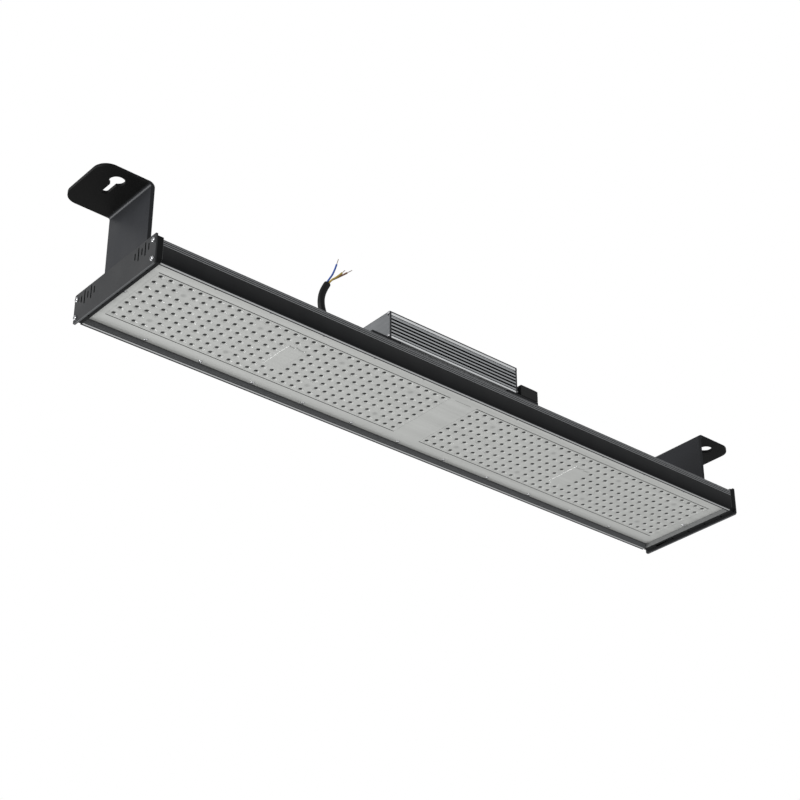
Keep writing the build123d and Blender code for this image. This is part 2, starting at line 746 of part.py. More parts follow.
# Driver stands: folded steel saddles that hold the driver clear of the fins
def make_stand(x_low, x_high):
    inner = STAND_HALF_WIDTH - STAND_THICKNESS
    foot_end = STAND_HALF_WIDTH + STAND_FOOT
    right = [
        (inner, stand_top - STAND_THICKNESS),
        (inner, FIN_TOP),
        (foot_end, FIN_TOP),
        (foot_end, stand_foot_top),
        (STAND_HALF_WIDTH, stand_foot_top),
        (STAND_HALF_WIDTH, stand_top),
    ]
    left = [(-y, z) for y, z in reversed(right)]
    saddle = profile_along_x(right + left, x_low, x_high)
    outer_bends = [
        edge
        for edge in saddle.edges().filter_by(Axis.X)
        if abs(abs(edge.center().Y) - STAND_HALF_WIDTH) < PLACE_TOLERANCE
        and edge.center().Z > stand_foot_top + PLACE_TOLERANCE
    ]
    saddle = fillet(outer_bends, STAND_BEND_RADIUS)
    holes = [
        upright_pin(x, y, FIN_TOP, stand_foot_top, STAND_SCREW_RADIUS + SCREW_CLEARANCE)
        for x, y in stand_screw_places()
        if x_low < x < x_high
    ]
    return saddle - holes


# Junction box beside the driver, on the right stand
def make_junction_box():
    box = block(
        BOX_LEFT, STAND_RIGHT_END, -BOX_HALF_WIDTH, BOX_HALF_WIDTH, stand_top, BOX_TOP - BOX_LID_THICKNESS
    )
    return box - block(
        BOX_LEFT + BOX_WALL,
        STAND_RIGHT_END - BOX_WALL,
        -BOX_HALF_WIDTH + BOX_WALL,
        BOX_HALF_WIDTH - BOX_WALL,
        stand_top + BOX_WALL,
        BOX_TOP - BOX_LID_THICKNESS,
    )


def make_junction_lid():
    lid = block(
        BOX_LEFT, STAND_RIGHT_END, -BOX_HALF_WIDTH, BOX_HALF_WIDTH, BOX_TOP - BOX_LID_THICKNESS, BOX_TOP
    )
    top_edges = lid.faces().sort_by(Axis.Z)[-1].edges()
    return chamfer(top_edges, BOX_CHAMFER)


# Glands, cable and wires
def make_gland():
    nut = Pos(DRIVER_LEFT, CABLE_Y, CABLE_Z) * extrude(
        Rot(0, -90, 0) * RegularPolygon(GLAND_RADIUS, 6), GLAND_NUT_LENGTH
    )
    dome_left = DRIVER_LEFT - GLAND_LENGTH
    dome = level_pin(dome_left, DRIVER_LEFT - GLAND_NUT_LENGTH, CABLE_Y, CABLE_Z, GLAND_DOME_RADIUS)
    return nut + dome


def make_output_gland():
    return level_pin(DRIVER_RIGHT, BOX_LEFT, 0, OUTPUT_GLAND_Z, OUTPUT_GLAND_RADIUS)


def make_cord(name, route, diameter):
    """A round cord of straight runs joined by arcs as large as the runs allow."""
    points = [Vector(*point) for point in route]
    radii = []
    for before, corner, after in zip(points, points[1:], points[2:]):
        turn = math.radians((corner - before).get_angle(after - corner))
        shorter = min((corner - before).length, (after - corner).length)
        radii.append(CORD_ARC_SHARE * shorter / math.tan(turn / 2))
    path = FilletPolyline(*points, radius=radii)
    section = Plane(origin=points[0], z_dir=points[1] - points[0]) * Circle(diameter / 2)
    cord = sweep(section, path=path)
    expected = math.pi * diameter**2 / 4 * path.length
    print(
        name,
        "length", round(path.length, 1),
        "radii", [round(radius, 1) for radius in radii],
        "volume over section times length", round(cord.volume / expected, 4),
    )
    return cord


def make_copper(colour):
    before, end = (Vector(*point) for point in WIRE_ROUTES[colour][-2:])
    tip = Plane(origin=end, z_dir=end - before) * Circle(COPPER_DIAMETER / 2)
    return extrude(tip, COPPER_LENGTHS[colour])


save("housing", make_housing())
save("lens_panel", make_lens_panel())
save("lens_gasket", make_gasket())
save("lens_screws", *[make_lens_screw(x, y) for x, y in lens_screw_places()])
save("led_board_left", make_led_board(-1))
save("led_board_right", make_led_board(1))
save("led_board_screws", *make_board_screws())

right_cap = make_end_cap()
right_plate = make_end_plate()
right_screws = [make_plate_screw(y, z) for y, z in plate_screw_places()]
right_bracket = make_bracket()
save("end_cap_right", right_cap)
save("end_cap_left", other_end(right_cap))
save("end_plate_right", right_plate)
save("end_plate_left", other_end(right_plate))
save("end_plate_screws_right", *right_screws)
save("end_plate_screws_left", *[other_end(screw) for screw in right_screws])
save("hanging_bracket_right", right_bracket)
save("hanging_bracket_left", other_end(right_bracket))

save(
    "bracket_screws",
    *[
        make_top_screw(x, y, bracket_foot_top, FOOT_SCREW_RADIUS, FOOT_SCREW_HEAD_RADIUS, FOOT_SCREW_HEAD_HEIGHT)
        for x, y in foot_screw_places()
    ],
)
save("driver_stand_left", make_stand(STAND_LEFT_START, STAND_LEFT_END))
save("driver_stand_right", make_stand(STAND_RIGHT_START, STAND_RIGHT_END))
save(
    "driver_stand_screws",
    *[
        make_top_screw(x, y, stand_foot_top, STAND_SCREW_RADIUS, STAND_SCREW_HEAD_RADIUS, STAND_SCREW_HEAD_HEIGHT)
        for x, y in stand_screw_places()
    ],
)
save("driver_case", make_driver_case())
save("driver_end_left", make_driver_end(DRIVER_LEFT, case_left))
save("driver_end_right", make_driver_end(case_right, DRIVER_RIGHT))
save("driver_screws", *make_driver_screws())
save("driver_circuit_board", make_circuit_board())
save("driver_transformer", make_transformer())
save("driver_capacitors", *make_capacitors())
save("junction_box", make_junction_box())
save("junction_box_lid", make_junction_lid())
save("cable_gland", make_gland())
save("output_gland", make_output_gland())
save("mains_cable", make_cord("mains_cable", CABLE_ROUTE, CABLE_DIAMETER))
for wire, wire_route in WIRE_ROUTES.items():
    save(f"wire_{wire}", make_cord(f"wire_{wire}", wire_route, WIRE_DIAMETER))
    save(f"copper_strands_{wire}", make_copper(wire))
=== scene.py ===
import math

import bpy
from mathutils import Matrix, Vector


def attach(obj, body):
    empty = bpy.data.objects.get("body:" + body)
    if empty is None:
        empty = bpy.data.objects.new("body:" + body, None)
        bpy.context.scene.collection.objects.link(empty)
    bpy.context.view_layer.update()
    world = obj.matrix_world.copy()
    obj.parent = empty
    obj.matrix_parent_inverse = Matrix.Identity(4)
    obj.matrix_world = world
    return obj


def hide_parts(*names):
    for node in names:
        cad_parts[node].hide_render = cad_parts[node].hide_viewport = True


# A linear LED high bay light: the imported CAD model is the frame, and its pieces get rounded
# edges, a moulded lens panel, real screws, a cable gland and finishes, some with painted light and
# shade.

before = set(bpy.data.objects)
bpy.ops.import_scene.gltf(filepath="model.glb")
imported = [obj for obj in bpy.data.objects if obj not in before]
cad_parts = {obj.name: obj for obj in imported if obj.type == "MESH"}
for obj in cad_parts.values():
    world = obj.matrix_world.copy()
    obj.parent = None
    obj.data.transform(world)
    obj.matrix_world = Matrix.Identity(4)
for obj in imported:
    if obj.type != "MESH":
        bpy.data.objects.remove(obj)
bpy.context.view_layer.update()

MM = 0.001

# The lens panel in mm: the height of its face, and in its right half the grid of lenses, the
# middle of the first column in the solids, how far the real grid lies from there, and the middle
# of the raised pad
LENS_FACE = 13.0
COLUMN_PITCH, ROW_PITCH = 15.7, 16.0
COLUMNS, ROWS = 32, 8
FIRST_COLUMN = 32.6
GRID_SHIFT_X, GRID_SHIFT_Y = 0.2, -1.4
PAD_MIDDLE = 275.95


# Ways of working

def active_only(piece):
    """Select one object, and nothing else."""
    bpy.ops.object.select_all(action="DESELECT")
    piece.select_set(True)
    bpy.context.view_layer.objects.active = piece


def new_piece(name):
    """Name the object that a primitive operator has just added."""
    piece = bpy.context.active_object
    piece.name = name
    return piece


def pick(piece, kind, test):
    """In edit mode, select the faces, edges or vertices whose place passes the test."""
    bpy.ops.mesh.select_mode(type=kind)
    bpy.ops.mesh.select_all(action="DESELECT")
    bpy.ops.object.mode_set(mode="OBJECT")
    mesh = piece.data
    if kind == "FACE":
        for face in mesh.polygons:
            face.select = test(face.center, face.normal)
    if kind == "VERT":
        for vertex in mesh.vertices:
            vertex.select = test(vertex.co, vertex.normal)
    if kind == "EDGE":
        for edge in mesh.edges:
            ends = [mesh.vertices[index].co for index in edge.vertices]
            edge.select = test((ends[0] + ends[1]) / 2, (ends[1] - ends[0]).normalized())
    bpy.ops.object.mode_set(mode="EDIT")


def apply_modifier(piece, kind, **settings):
    """Add one modifier, set it and apply it."""
    active_only(piece)
    modifier = piece.modifiers.new(kind.lower(), kind)
    for name, value in settings.items():
        setattr(modifier, name, value)
    bpy.ops.object.modifier_apply(modifier=modifier.name)


def smooth(piece, degrees):
    """Shade a piece smooth apart from its sharp edges, with flat faces kept flat."""
    active_only(piece)
    bpy.ops.object.shade_smooth_by_angle(angle=math.radians(degrees))
    apply_modifier(piece, "WEIGHTED_NORMAL", keep_sharp=True, weight=100)


def copy_to(template, place, turn=(0, 0, 0)):
    """Copy a template to a place, turned about X, Y and Z, with its own mesh."""
    active_only(template)
    bpy.ops.object.duplicate()
    piece = bpy.context.active_object
    piece.location = place
    piece.rotation_euler = turn
    bpy.ops.object.transform_apply(location=True, rotation=True, scale=True)
    return piece


def join(name, pieces):
    """Make one piece of several."""
    bpy.ops.object.select_all(action="DESELECT")
    for piece in pieces:
        piece.select_set(True)
    bpy.context.view_layer.objects.active = pieces[0]
    bpy.ops.object.join()
    return new_piece(name)


# How a few pieces of the real light differ from the solids: rules for their corners, in mm

def square_corner(x, y, z):
    """End plates: lower corners cut by 2.5 mm only."""
    if abs(y) > 97.9 and abs(z - 9.0) < 0.1:
        return x, y, 2.5
    if abs(abs(y) - 89.0) < 0.1 and z < 0.1:
        return x, math.copysign(95.5, y), z
    return x, y, z


def tight_lip(x, y, z):
    """Housing: the outer corner of each lip rounded by a third as much."""
    if abs(y) > 94.9 and z < 8.6:
        return x, math.copysign(98.0 + (abs(y) - 98.0) / 3, y), 5.5 + (z - 5.5) / 3
    return x, y, z


def thick_bracket(x, y, z):
    """Brackets: thicker sheet, a larger keyhole and a slightly shorter flange."""
    keyhole_out, keyhole_y = 579.0, -27.0
    slot_wider, hole_wider = 4.5 / 4.0, 11.0 / 9.0
    out = abs(x)
    aside = out - keyhole_out
    in_slot = abs(aside) < 4.05 and -19.1 < y < 4.1
    new_out, new_y, new_z = out, y, z
    if in_slot and y < -0.05 and aside != 0.0:
        new_out, new_y = keyhole_out + math.copysign(4.5, aside), max(y, -16.96)
    elif in_slot:
        new_out, new_y = keyhole_out + aside * slot_wider, 2.0 + y * slot_wider
    elif abs(math.hypot(aside, y - keyhole_y) - 9.0) < 0.1:
        new_out = keyhole_out + aside * hole_wider
        new_y = keyhole_y + (y - keyhole_y) * hole_wider
    elif out > 600.0:
        new_out = out - 4.8
    low_out, low_z = 533.8, 53.0
    high_out, high_z = 543.8, 152.0
    low_bend = math.hypot(out - low_out, z - low_z)
    high_bend = math.hypot(out - high_out, z - high_z)
    if abs(z - 159.0) < 0.05:
        new_z = 160.0
    elif abs(z - 50.0) < 0.05:
        new_z = 52.0
    elif abs(out - 536.8) < 0.05:
        new_out = 534.8
    elif abs(low_bend - 3.0) < 0.05 and z < low_z:
        new_out, new_z = low_out + (out - low_out) / 3, low_z + (z - low_z) / 3
    elif abs(high_bend - 7.0) < 0.05 and z > high_z and out < high_out:
        new_out, new_z = high_out + (out - high_out) * 9 / 7, high_z + (z - high_z) * 8 / 7
    return math.copysign(new_out, x), new_y, new_z


def tall_driver(x, y, z):
    """Driver: its top band is 1.9 mm taller."""
    return x, y, z + 1.9 if z > 136.0 else z


def tall_box(x, y, z):
    """Junction box: 2.5 mm taller."""
    return x, y, z + 2.5 if z > 109.5 else z


RESHAPED = {
    "end_plate_left": square_corner, "end_plate_right": square_corner, "housing": tight_lip,
    "hanging_bracket_left": thick_bracket, "hanging_bracket_right": thick_bracket,
    "driver_case": tall_driver, "driver_end_left": tall_driver, "driver_end_right": tall_driver,
    "junction_box": tall_box, "junction_box_lid": tall_box,
}


def softened(node_name, width_mm):
    """A copy of a CAD node whose edges are rounded as a saw, a die or a press leaves them."""
    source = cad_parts[node_name]
    piece = bpy.data.objects.new(node_name + "_finished", source.data.copy())
    bpy.context.scene.collection.objects.link(piece)
    active_only(piece)
    bpy.ops.mesh.customdata_custom_splitnormals_clear()
    bpy.ops.object.mode_set(mode="EDIT")
    bpy.ops.mesh.select_all(action="SELECT")
    bpy.ops.mesh.remove_doubles(threshold=0.004 * MM)
    bpy.ops.mesh.dissolve_limited(angle_limit=math.radians(0.4))
    bpy.ops.object.mode_set(mode="OBJECT")
    if node_name in RESHAPED:
        for vertex in piece.data.vertices:
            vertex.co = Vector(RESHAPED[node_name](*(vertex.co / MM))) * MM
    apply_modifier(
        piece, "BEVEL", width=width_mm * MM, segments=2, limit_method="ANGLE",
        angle_limit=math.radians(32), use_clamp_overlap=True, miter_outer="MITER_ARC",
    )
    smooth(piece, 40)
    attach(piece, "root")
    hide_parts(node_name)
    return piece


def finish_with(piece, material):
    """Give a new piece its one material."""
    piece.data.materials.clear()
    piece.data.materials.append(material)


def repaint(node_name, material):
    """Give a CAD node a better material."""
    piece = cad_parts[node_name]
    piece.data.materials.clear()
    piece.data.materials.append(material)


# Camera

camera_data = bpy.data.cameras.new("photo_camera")
camera = bpy.data.objects.new("photo_camera", camera_data)
bpy.context.scene.collection.objects.link(camera)
camera_data.lens = 84.98
camera_data.sensor_width = 36.0
camera_data.clip_end = 60.0
right = Vector((0.76431, -0.64485, -0.00152))
up = Vector((-0.32171, -0.38335, 0.86576))
forward = Vector((0.55887, 0.66122, 0.50046))
facing = Matrix((right, up, -forward)).transposed().to_4x4()
camera.matrix_world = Matrix.Translation((-1.5989, -1.8142, -1.3498)) @ facing
bpy.context.scene.camera = camera


# Materials

def linear(code):
    """An sRGB hex colour as linear RGBA."""
    parts = [int(code[place:place + 2], 16) / 255 for place in (1, 3, 5)]
    return [p / 12.92 if p <= 0.04045 else ((p + 0.055) / 1.055) ** 2.4 for p in parts] + [1.0]


def node(material, kind, inputs, **settings):
    """Add one node with its settings, and set each input to a value or link it to an output."""
    made = material.node_tree.nodes.new(kind)
    for name, value in settings.items():
        setattr(made, name, value)
    for name, value in inputs.items():
        if isinstance(value, bpy.types.NodeSocket):
            material.node_tree.links.new(value, made.inputs[name])
        else:
            made.inputs[name].default_value = value
    return made


def start_material(name, colour, roughness, **sockets):
    """A material with its shader, and an output with the place on the object in metres."""
    material = bpy.data.materials.new(name)
    material.use_nodes = True
    shader = material.node_tree.nodes["Principled BSDF"]
    shader.inputs["Base Color"].default_value = linear(colour)
    shader.inputs["Roughness"].default_value = roughness
    for socket, value in sockets.items():
        shader.inputs[socket.replace("_", " ")].default_value = value
    place = node(material, "ShaderNodeTexCoord", {}).outputs["Object"]
    return material, shader, place


def set_input(material, shader, socket, output):
    """Link an output to one of the shader's sockets."""
    material.node_tree.links.new(output, shader.inputs[socket])


def sizes_of(material, place):
    """The distance from the middle along X and along Y, and the height."""
    parts = node(material, "ShaderNodeSeparateXYZ", {"Vector": place})
    out_x = node(material, "ShaderNodeMath", {0: parts.outputs["X"]}, operation="ABSOLUTE")
    out_y = node(material, "ShaderNodeMath", {0: parts.outputs["Y"]}, operation="ABSOLUTE")
    return out_x.outputs[0], out_y.outputs[0], parts.outputs["Z"]


def mottle(material, place, scale, detail, first, second):
    """A soft noise at a scale per metre, and two sRGB colours mixed by it."""
    noise = node(
        material, "ShaderNodeTexNoise", {"Vector": place, "Scale": scale, "Detail": detail}
    )
    mixed = node(
        material, "ShaderNodeMix",
        {"Factor": noise.outputs["Fac"], "A": linear(first), "B": linear(second)}, data_type="RGBA",
    )
    return noise.outputs["Fac"], mixed.outputs["Result"]


def patch(material, under, colour, *limits):
    """Lay an sRGB colour over another one on a part of the object. Each limit holds an output
    and two sizes in mm: the patch is absent up to the first size and full from the second on."""
    factor = None
    for value, start, end in limits:
        reached = node(
            material, "ShaderNodeMapRange",
            {"Value": value, "From Min": start * MM, "From Max": end * MM},
        ).outputs["Result"]
        if factor is None:
            factor = reached
        else:
            factor = node(
                material, "ShaderNodeMath", {0: factor, 1: reached}, operation="MULTIPLY"
            ).outputs[0]
    laid = node(
        material, "ShaderNodeMix", {"Factor": factor, "A": under, "B": linear(colour)},
        data_type="RGBA",
    )
    return laid.outputs["Result"]


def extruded_black(name, colour, bright):
    """Black anodised extrusion: a satin skin with die lines along its length, a few tenths of
    a millimetre apart in the real one, drawn 1.2 mm apart so that they show. The tips of its side
    ribs are painted lighter than the grooves as a painted highlight, the inner walls of its lips
    are painted mid grey as painted reflected light, and the undersides of its lips are painted
    light grey."""
    material, shader, place = start_material(name, colour, 0.42)
    _, out_y, height = sizes_of(material, place)
    # Painted shading: the specular level rises with height, so the side is darker at the bottom and
    # lighter at the top
    height_painted_sheen = node(
        material, "ShaderNodeMapRange",
        {"Value": height, "From Min": 5.0 * MM, "From Max": 28.0 * MM,
         "To Min": 0.04, "To Max": 0.2},
    )
    set_input(material, shader, "Specular IOR Level", height_painted_sheen.outputs["Result"])
    along = node(material, "ShaderNodeMapping", {"Vector": place, "Scale": (1.5, 830.0, 830.0)})
    lines, skin = mottle(material, along.outputs["Vector"], 1.0, 3.0, colour, bright)
    # Painted highlight on the rib tips, painted reflected light on the inner walls of the lips, and
    # light grey on the lips' undersides
    skin = patch(material, skin, "#87888a", (out_y, 97.3, 97.7), (height, 28.8, 29.2))
    skin = patch(material, skin, "#6a6b6d", (out_y, 89.8, 89.4), (height, 13.1, 12.9))
    skin = patch(
        material, skin, "#a6a7a8", (out_y, 91.3, 91.8), (out_y, 95.0, 94.2), (height, 6.2, 5.8)
    )
    set_input(material, shader, "Base Color", skin)
    cloud = node(material, "ShaderNodeTexNoise", {"Vector": place, "Scale": 45.0, "Detail": 4.0})
    rough = node(
        material, "ShaderNodeMapRange",
        {"Value": cloud.outputs["Fac"], "From Min": 0.3, "From Max": 0.7,
         "To Min": 0.36, "To Max": 0.5},
    )
    set_input(material, shader, "Roughness", rough.outputs["Result"])
    bump = node(
        material, "ShaderNodeBump", {"Height": lines, "Strength": 0.12, "Distance": 0.2 * MM}
    )
    set_input(material, shader, "Normal", bump.outputs["Normal"])
    return material


def powder_coat(name, colour, bright, grain_mm, gloss):
    """Powder-coated sheet steel: a fine orange peel and small differences in gloss. A paler line is
    painted along the sheared bottom edge and in the bracket's upper bend as a painted highlight,
    and a blacker colour under the bracket's flange, which sees no light, is painted shade."""
    material, shader, place = start_material(name, colour, 0.5, Specular_IOR_Level=gloss)
    out_x, _, height = sizes_of(material, place)
    cloud, coat = mottle(material, place, 20.0, 5.0, colour, bright)
    # Painted highlight on the bottom edge, painted shade under the flange, and a painted highlight
    # in the bend between it and the upright
    coat = patch(material, coat, "#4e4f51", (height, 1.1, 0.5))
    coat = patch(material, coat, "#090909", (height, 153.0, 155.0), (out_x, 544.0, 546.0))
    coat = patch(
        material, coat, "#58595b", (height, 151.7, 152.8), (height, 155.0, 154.1),
        (out_x, 540.6, 541.4), (out_x, 543.8, 543.0),
    )
    set_input(material, shader, "Base Color", coat)
    rough = node(
        material, "ShaderNodeMapRange",
        {"Value": cloud, "From Min": 0.3, "From Max": 0.7, "To Min": 0.44, "To Max": 0.58},
    )
    set_input(material, shader, "Roughness", rough.outputs["Result"])
    grain = node(
        material, "ShaderNodeTexNoise", {"Vector": place, "Scale": 1000.0 / grain_mm, "Detail": 2.0}
    )
    bump = node(
        material, "ShaderNodeBump",
        {"Height": grain.outputs["Fac"], "Strength": 0.25, "Distance": 0.2 * MM},
    )
    set_input(material, shader, "Normal", bump.outputs["Normal"])
    return material


def lens_polycarbonate():
    """Moulded clear polycarbonate over white boards: it looks light grey and softly shiny, dark
    where a chip sits over the bottom of a lens, and cloudy grey over a board screw."""
    material, shader, place = start_material("moulded_polycarbonate", "#c6c7c5", 0.32, IOR=1.58)
    out_x, out_y, height = sizes_of(material, place)
    flow = node(material, "ShaderNodeMapping", {"Vector": place, "Scale": (3.0, 120.0, 120.0)})
    _, face = mottle(material, flow.outputs["Vector"], 1.0, 4.0, "#adaeac", "#c4c5c3")
    # The eight board screws of each half are mirror images of one: X is folded about the half's
    # middle and then about the middle of two screws.
    folded = out_x
    for middle in (PAD_MIDDLE, 133.45):
        past = node(material, "ShaderNodeMath", {0: folded, 1: middle * MM}, operation="SUBTRACT")
        fold = node(material, "ShaderNodeMath", {0: past.outputs[0]}, operation="ABSOLUTE")
        folded = fold.outputs[0]
    off_x = node(material, "ShaderNodeMath", {0: folded, 1: 62.8 * MM}, operation="SUBTRACT")
    off_y = node(material, "ShaderNodeMath", {0: out_y, 1: 40.0 * MM}, operation="SUBTRACT")
    off = node(material, "ShaderNodeCombineXYZ", {"X": off_x.outputs[0], "Y": off_y.outputs[0]})
    far = node(material, "ShaderNodeVectorMath", {0: off.outputs["Vector"]}, operation="LENGTH")
    near_screw = node(
        material, "ShaderNodeMapRange",
        {"Value": far.outputs["Value"], "From Min": 1.8 * MM, "From Max": 5.8 * MM,
         "To Min": 0.45, "To Max": 0.0},
    )
    clouded = node(
        material, "ShaderNodeMix",
        {"Factor": near_screw.outputs["Result"], "A": face, "B": linear("#7d7e7d")},
        data_type="RGBA",
    )
    # The shaded outer edge, and the chips over the bottoms of the wells
    edged = patch(material, clouded.outputs["Result"], "#5e5f5e", (out_y, 86.8, 87.6))
    dotted = patch(material, edged, "#0e0f10", (height, 13.9, 14.1))
    set_input(material, shader, "Base Color", dotted)
    ripple = node(material, "ShaderNodeTexNoise", {"Vector": place, "Scale": 250.0, "Detail": 2.0})
    bump = node(
        material, "ShaderNodeBump",
        {"Height": ripple.outputs["Fac"], "Strength": 0.08, "Distance": 0.3 * MM},
    )
    set_input(material, shader, "Normal", bump.outputs["Normal"])
    return material


def black_rubber(name, colour, bright, rough):
    """Moulded rubber or soft PVC: near black, dull, with a faint moulded grain."""
    material, shader, place = start_material(name, colour, rough, Specular_IOR_Level=0.2)
    set_input(material, shader, "Base Color", mottle(material, place, 90.0, 3.0, colour, bright)[1])
    grain = node(material, "ShaderNodeTexNoise", {"Vector": place, "Scale": 1600.0, "Detail": 2.0})
    bump = node(
        material, "ShaderNodeBump",
        {"Height": grain.outputs["Fac"], "Strength": 0.2, "Distance": 0.2 * MM},
    )
    set_input(material, shader, "Normal", bump.outputs["Normal"])
    return material


def wire_pvc(name, colour, bright):
    """Glossy coloured PVC of a thin core, with a slight unevenness of its colour."""
    material, shader, place = start_material(name, colour, 0.35)
    cloud, skin = mottle(material, place, 400.0, 3.0, colour, bright)
    set_input(material, shader, "Base Color", skin)
    bump = node(
        material, "ShaderNodeBump", {"Height": cloud, "Strength": 0.1, "Distance": 0.2 * MM}
    )
    set_input(material, shader, "Normal", bump.outputs["Normal"])
    return material


def striped_pvc():
    """The earth core's PVC: yellow with green stripes along it."""
    material, shader, place = start_material("striped_pvc", "#c9a52c", 0.35)
    stripes = node(
        material, "ShaderNodeTexWave", {"Vector": place, "Scale": 110.0, "Distortion": 1.0},
        wave_type="BANDS", bands_direction="Y",
    )
    ramp = node(material, "ShaderNodeValToRGB", {"Fac": stripes.outputs["Fac"]})
    yellow, green = ramp.color_ramp.elements
    yellow.position, yellow.color = 0.62, linear("#c9a52c")
    green.position, green.color = 0.72, linear("#4f7a3a")
    set_input(material, shader, "Base Color", ramp.outputs["Color"])
    return material


def copper_wire():
    """Tinned copper strands: greyish bright metal with the twist of the strands across it."""
    material, shader, place = start_material("tinned_copper_strands", "#a58f83", 0.35, Metallic=1.0)
    turned = node(material, "ShaderNodeMapping", {"Vector": place, "Rotation": (0.5, 0.6, 0.0)})
    strands = node(
        material, "ShaderNodeTexWave", {"Vector": turned.outputs["Vector"], "Scale": 500.0}
    )
    skin = node(
        material, "ShaderNodeMix",
        {"Factor": strands.outputs["Fac"], "A": linear("#8d7a70"), "B": linear("#bda89c")},
        data_type="RGBA",
    )
    set_input(material, shader, "Base Color", skin.outputs["Result"])
    bump = node(
        material, "ShaderNodeBump",
        {"Height": strands.outputs["Fac"], "Strength": 0.5, "Distance": 0.3 * MM},
    )
    set_input(material, shader, "Normal", bump.outputs["Normal"])
    return material


def extruded_aluminium(name, dark, bright, rough):
    """Clear-anodised extruded aluminium: satin silver with fine die lines along its length. The
    ribs are painted darker than the bands above and below them, and the grooves between them near
    black, both as painted shade; the top corners are painted dark as painted shade; and the
    underside is not metallic, which renders it lighter."""
    material, shader, place = start_material(name, bright, rough, Metallic=1.0)
    _, out_y, height = sizes_of(material, place)
    along = node(material, "ShaderNodeMapping", {"Vector": place, "Scale": (2.0, 900.0, 900.0)})
    lines, skin = mottle(material, along.outputs["Vector"], 1.0, 3.0, dark, bright)
    # Painted shade: the ribs darker than the bands, the grooves between them near black, and the
    # top corners dark
    ribs = ((height, 99.0, 99.4), (height, 133.6, 133.2))
    skin = patch(material, skin, "#a6a8aa", *ribs)
    skin = patch(material, skin, "#1b1c1d", *ribs, (out_y, 34.8, 34.2))
    skin = patch(material, skin, "#3a3b3c", (height, 137.8, 138.4), (out_y, 33.8, 34.4))
    set_input(material, shader, "Base Color", skin)
    # The underside, below 95.7 mm, is not metallic, which renders it lighter
    above_underside = node(
        material, "ShaderNodeMapRange",
        {"Value": height, "From Min": 95.6 * MM, "From Max": 95.8 * MM},
    )
    set_input(material, shader, "Metallic", above_underside.outputs["Result"])
    bump = node(
        material, "ShaderNodeBump", {"Height": lines, "Strength": 0.15, "Distance": 0.2 * MM}
    )
    set_input(material, shader, "Normal", bump.outputs["Normal"])
    return material


def brushed_aluminium(name, dark, bright, rough):
    """A sawn and brushed aluminium plate: grey, with scratches across it, and painted shade
    darkening its side and top edges.
    """
    material, shader, place = start_material(name, bright, rough, Metallic=0.85)
    _, out_y, height = sizes_of(material, place)
    across = node(material, "ShaderNodeMapping", {"Vector": place, "Scale": (600.0, 18.0, 900.0)})
    lines, skin = mottle(material, across.outputs["Vector"], 1.0, 4.0, dark, bright)
    # Painted shade along the side edges and the top edge
    skin = patch(material, skin, "#3a3b3d", (out_y, 34.2, 34.7))
    skin = patch(material, skin, "#3a3b3d", (height, 139.2, 139.7))
    set_input(material, shader, "Base Color", skin)
    bump = node(
        material, "ShaderNodeBump", {"Height": lines, "Strength": 0.15, "Distance": 0.2 * MM}
    )
    set_input(material, shader, "Normal", bump.outputs["Normal"])
    return material


def plated_steel(name, colour, bright, rough):
    """A small plated or blackened steel screw: shiny, with tool marks."""
    material, shader, place = start_material(name, colour, rough, Metallic=1.0)
    marks, skin = mottle(material, place, 900.0, 3.0, colour, bright)
    set_input(material, shader, "Base Color", skin)
    bump = node(
        material, "ShaderNodeBump", {"Height": marks, "Strength": 0.15, "Distance": 0.2 * MM}
    )
    set_input(material, shader, "Normal", bump.outputs["Normal"])
    return material


def board_lacquer(name, colour, bright, line_mm):
    """Solder lacquer on a circuit board: slightly glossy, with copper tracks showing through."""
    material, shader, place = start_material(name, colour, 0.4)
    tracks = node(
        material, "ShaderNodeTexBrick",
        {"Vector": place, "Scale": 1000.0 / line_mm, "Color1": linear(colour),
         "Color2": linear(colour), "Mortar": linear(bright), "Mortar Size": 0.02},
    )
    set_input(material, shader, "Base Color", tracks.outputs["Color"])
    return material


def moulded_plastic(name, colour, bright, rough, gloss=0.2, caps_housing=False):
    """Moulded ABS or nylon: even colour with a fine spark-eroded grain. A cap that closes the
    housing is greyer on its moulded underside, with a grey sealing face towards the lens."""
    material, shader, place = start_material(name, colour, rough, Specular_IOR_Level=gloss)
    skin = mottle(material, place, 30.0, 4.0, colour, bright)[1]
    if caps_housing:
        out_x, _, height = sizes_of(material, place)
        skin = patch(material, skin, "#1f2021", (height, 5.2, 4.6))
        skin = patch(material, skin, "#757676", (out_x, 544.6, 544.0), (height, 5.2, 5.6))
    set_input(material, shader, "Base Color", skin)
    grain = node(material, "ShaderNodeTexNoise", {"Vector": place, "Scale": 1400.0, "Detail": 2.0})
    bump = node(
        material, "ShaderNodeBump",
        {"Height": grain.outputs["Fac"], "Strength": 0.2, "Distance": 0.2 * MM},
    )
    set_input(material, shader, "Normal", bump.outputs["Normal"])
    return material


heat_sink = extruded_black("black_anodised_extrusion", "#141516", "#1d1e20")
end_cap = moulded_plastic(
    "black_glass_filled_nylon", "#101112", "#161718", 0.5, gloss=0.08, caps_housing=True
)
end_sheet = powder_coat("black_powder_coat_end_plate", "#111214", "#1a1b1d", 0.9, 0.3)
bracket_steel = powder_coat("black_powder_coat_bracket", "#202123", "#2a2b2e", 0.9, 0.12)
clear_lens = lens_polycarbonate()
seal = black_rubber("black_silicone_gasket", "#161616", "#202020", 0.7)
white_board = board_lacquer("white_solder_lacquer", "#dcdedb", "#c4c7c3", 22.0)
bright_screw = plated_steel("zinc_plated_screw", "#b4b5b7", "#ececee", 0.25)
black_screw = plated_steel("blackened_steel_screw", "#2a2a2c", "#48494b", 0.35)
